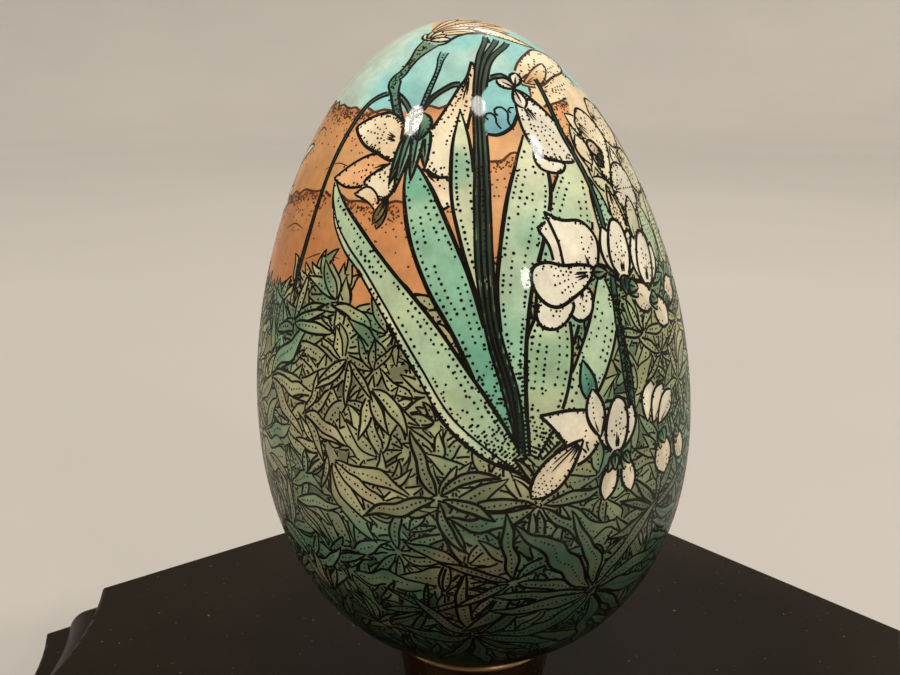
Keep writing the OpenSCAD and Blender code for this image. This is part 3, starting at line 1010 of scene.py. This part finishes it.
def new_material(name, **values):
    """A material with the shader's inputs set: an underscore stands for a space."""
    m = bpy.data.materials.new(name)
    m.use_nodes = True
    shader = m.node_tree.nodes["Principled BSDF"]
    for key, value in values.items():
        shader.inputs[key.replace("_", " ")].default_value = value
    return m, m.node_tree, shader


def node(tree, kind, **values):
    """A node with its inputs or its settings set."""
    n = tree.nodes.new(kind)
    for key, value in values.items():
        if key in n.inputs:
            n.inputs[key].default_value = value
        else:
            setattr(n, key, value)
    return n


def grey(v):
    return (v, v, v)


def texture(tree, scale, detail, rough=0.55, stretch=(1, 1, 1)):
    """The output of a noise texture fixed to the object."""
    where = tree.nodes.new("ShaderNodeTexCoord")
    shift = node(tree, "ShaderNodeMapping", Scale=stretch)
    n = node(tree, "ShaderNodeTexNoise", Scale=scale, Detail=detail, Roughness=rough)
    tree.links.new(where.outputs["Object"], shift.inputs["Vector"])
    tree.links.new(shift.outputs["Vector"], n.inputs["Vector"])
    return n.outputs["Fac"]


def ramp(tree, source, stops, socket):
    """Sets an input of a node by a texture, through colours at the given stops."""
    n = tree.nodes.new("ShaderNodeValToRGB")
    e = n.color_ramp.elements
    while len(e) < len(stops):
        e.new(0.5)
    for slot, (place, colour) in zip(e, stops):
        slot.position = place
        slot.color = (*colour, 1)
    tree.links.new(source, n.inputs["Fac"])
    tree.links.new(n.outputs["Color"], socket)


def bump(tree, socket, source, strength, distance):
    """Sets a normal input of a shader by a texture, as a height."""
    b = node(tree, "ShaderNodeBump", Strength=strength, Distance=distance)
    tree.links.new(source, b.inputs["Height"])
    tree.links.new(b.outputs["Normal"], socket)


def varnish(tree, shader):
    """Shallow waves in the clear coat over the washes and the ink."""
    bump(tree, shader.inputs["Coat Normal"], texture(tree, 130, 2, 0.4), 0.12, 0.0006)


def skin_material():
    m, t, s = new_material("washes under varnish", Roughness=0.5, Specular_IOR_Level=0.1, Coat_Weight=0.4,
                           Coat_Roughness=0.05, Coat_IOR=1.42)
    colour = node(t, "ShaderNodeAttribute", attribute_name="wash")
    mixed = node(t, "ShaderNodeMix", data_type="RGBA", blend_type="MULTIPLY", Factor=1.0)
    ramp(t, texture(t, 900, 6, 0.7), ((0.30, grey(0.80)), (0.62, grey(1.0))), mixed.inputs[COLOUR_B])
    t.links.new(colour.outputs["Color"], mixed.inputs[COLOUR_A])
    t.links.new(mixed.outputs[COLOUR_OUT], s.inputs["Base Color"])
    varnish(t, s)
    return m


def ink_material(name, dense, thin):
    m, t, s = new_material(name, Roughness=0.5, Specular_IOR_Level=0.05, Coat_Weight=0.3, Coat_Roughness=0.05,
                           Coat_IOR=1.42, Coat_Tint=(1.0, 0.86, 0.66, 1))
    ramp(t, texture(t, 700, 3), ((0.35, dense), (0.75, thin)), s.inputs["Base Color"])
    varnish(t, s)
    return m


def plain_material(name, scale, detail, low, high, rough):
    """A mottled matt material: low and high are its darker and lighter colours."""
    m, t, s = new_material(name, Roughness=rough)
    ramp(t, texture(t, scale, detail), ((0.3, low), (0.7, high)), s.inputs["Base Color"])
    return m, t, s.inputs["Normal"]


def shell_material():
    m, t, relief = plain_material("chalky shell", 300, 5, (0.70, 0.62, 0.47), (0.84, 0.78, 0.64), 0.7)
    bump(t, relief, texture(t, 1500, 3), 0.3, 0.00008)
    return m


def membrane_material():
    m, t, relief = plain_material("dry membrane", 180, 6, (0.62, 0.56, 0.42), (0.80, 0.75, 0.62), 0.85)
    bump(t, relief, texture(t, 900, 6, 0.7), 0.5, 0.0001)
    return m


def brass_material():
    m, t, s = new_material("tarnished brass with painted shade", Metallic=1.0)
    # painted shade: the brass colours are dark throughout, for the shadow the egg casts over the ring, with a
    # mottle of tarnish over them
    tarnish_and_shade = texture(t, 160, 6, 0.6)
    ramp(t, tarnish_and_shade, ((0.30, (0.22, 0.125, 0.055)), (0.55, (0.38, 0.245, 0.12)), (0.8, (0.50, 0.345, 0.19))),
         s.inputs["Base Color"])
    ramp(t, tarnish_and_shade, ((0.3, grey(0.42)), (0.7, grey(0.17))), s.inputs["Roughness"])
    # fine lines round the ring, from the lathe
    bump(t, s.inputs["Normal"], texture(t, 60, 3, 0.5, (1, 1, 60)), 0.15, 0.00006)
    return m


def wood_material():
    m, t, s = new_material("satin black paint on wood", Specular_IOR_Level=0.07)
    tone = texture(t, 26, 5, 0.6)
    # sparse pale flecks of dust over the paint
    mixed = node(t, "ShaderNodeMix", data_type="RGBA")
    mixed.inputs[COLOUR_B].default_value = (0.16, 0.14, 0.12, 1)
    ramp(t, tone, ((0.3, (0.0088, 0.0060, 0.0032)), (0.7, (0.0170, 0.0120, 0.0074))), mixed.inputs[COLOUR_A])
    ramp(t, texture(t, 1300, 2, 0.5), ((0.735, grey(0.0)), (0.765, grey(1.0))), mixed.inputs["Factor"])
    t.links.new(mixed.outputs[COLOUR_OUT], s.inputs["Base Color"])
    ramp(t, tone, ((0.25, grey(0.36)), (0.75, grey(0.50))), s.inputs["Roughness"])
    # the grain of the wood runs along the plaque
    bump(t, s.inputs["Normal"], texture(t, 90, 5, 0.6, (1, 22, 22)), 0.22, 0.00012)
    return m


def give(name, material):
    """Gives a CAD piece its material."""
    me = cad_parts[name].data
    me.materials.clear()
    me.materials.append(material)


# ---------------------------------------------------------------- the object
draw()
painted_skin(skin_material())
ink_pieces((ink_material("black ink", (0.0028, 0.0024, 0.0014), (0.009, 0.0076, 0.004)),
            ink_material("sepia ink", (0.060, 0.022, 0.010), (0.12, 0.055, 0.028))))
give("eggshell", shell_material())
give("shell_membrane", membrane_material())
give("egg_ring", brass_material())
give("plaque", wood_material())


# ---------------------------------------------------------------- floor, light and camera
def floor_sheet():
    """A round floor that curves up into a wall, so that no view has a hard horizon."""
    flat, curl, wall, spokes, steps = 2.2, 1.3, 2.2, 96, 16
    profile = [(0.02, 0.0), (0.6, 0.0), (flat, 0.0)]
    for k in range(1, steps + 1):
        a = math.pi / 2 * k / steps
        profile.append((flat + curl * math.sin(a), curl * (1 - math.cos(a))))
    profile.append((flat + curl, wall))
    verts = [(0, 0, 0)]
    for r, z in profile:
        verts += [(r * math.cos(2 * math.pi * k / spokes), r * math.sin(2 * math.pi * k / spokes), z)
                  for k in range(spokes)]
    faces = [(0, 1 + k, 1 + (k + 1) % spokes) for k in range(spokes)]
    for i in range(len(profile) - 1):
        for k in range(spokes):
            a, b = 1 + i * spokes + k, 1 + i * spokes + (k + 1) % spokes
            faces.append((a, a + spokes, b + spokes, b))
    me = bpy.data.meshes.new("floor")
    me.from_pydata(verts, [], faces)
    me.polygons.foreach_set("use_smooth", np.ones(len(faces), bool))
    me.materials.append(plain_material("pale floor", 3, 3, (0.47, 0.44, 0.405), (0.50, 0.47, 0.43), 0.75)[0])
    return me


floor_ob = bpy.data.objects.new("floor", floor_sheet())
bpy.context.scene.collection.objects.link(floor_ob)

WORLD_COLOUR, WORLD_STRENGTH = (0.86, 0.80, 0.73, 1), 0.47
world = bpy.data.worlds.new("studio")
bpy.context.scene.world = world
world.use_nodes = True
world.node_tree.nodes["Background"].inputs["Color"].default_value = WORLD_COLOUR
world.node_tree.nodes["Background"].inputs["Strength"].default_value = WORLD_STRENGTH
bpy.context.scene.view_settings.view_transform = "Standard"

# level directions as the camera sees them
forward = Vector((0.628, 0.778, 0)).normalized()
right = Vector((0.778, -0.628, 0)).normalized()
up = Vector((0, 0, 1))

LAMP_COLOUR, AIM = (1, 0.95, 0.885), Vector((0, 0, 0.075))


def lamp(name, kind, across, back, height, size, power):
    """A round soft lamp aimed at the egg; across and back are metres from it, seen from the camera."""
    data = bpy.data.lights.new(name, kind)
    if kind == "SUN":
        data.angle = size
    else:
        data.shape = "DISK"
        data.size = size
    data.energy = power
    data.color = LAMP_COLOUR
    ob = bpy.data.objects.new(name, data)
    bpy.context.scene.collection.objects.link(ob)
    ob.location = right * across + forward * back + up * height
    ob.rotation_euler = (AIM - ob.location).to_track_quat("-Z", "Y").to_euler()


lamp("key", "SUN", -0.44, -0.22, 0.86, 0.18, 1.55)
lamp("second", "SUN", 0.13, -0.27, 0.96, 0.14, 0.8)
lamp("side", "AREA", 0.56, -0.23, 0.77, 0.10, 2.0)
lamp("low", "AREA", 0.44, -0.72, 0.45, 0.09, 1.0)
lamp("back", "AREA", 0.10, 0.70, 0.80, 0.30, 1.2)

# the camera of the photo: its lens, its pitch and its place, as found by matching the outlines
LENS, SENSOR, PITCH = 40, 36, 13.84
camera = bpy.data.objects.new("camera", bpy.data.cameras.new("camera"))
bpy.context.scene.collection.objects.link(camera)
camera.data.lens = LENS
camera.data.sensor_width = SENSOR
camera.data.clip_start = 0.001
pitch = math.radians(PITCH)
look = forward * math.cos(pitch) - up * math.sin(pitch)
top = right.cross(look)
place = -forward * 0.12896 - right * 0.00345 + up * 0.10375
camera.matrix_world = Matrix((
    (right.x, top.x, -look.x, place.x),
    (right.y, top.y, -look.y, place.y),
    (right.z, top.z, -look.z, place.z),
    (0, 0, 0, 1),
))
bpy.context.scene.camera = camera
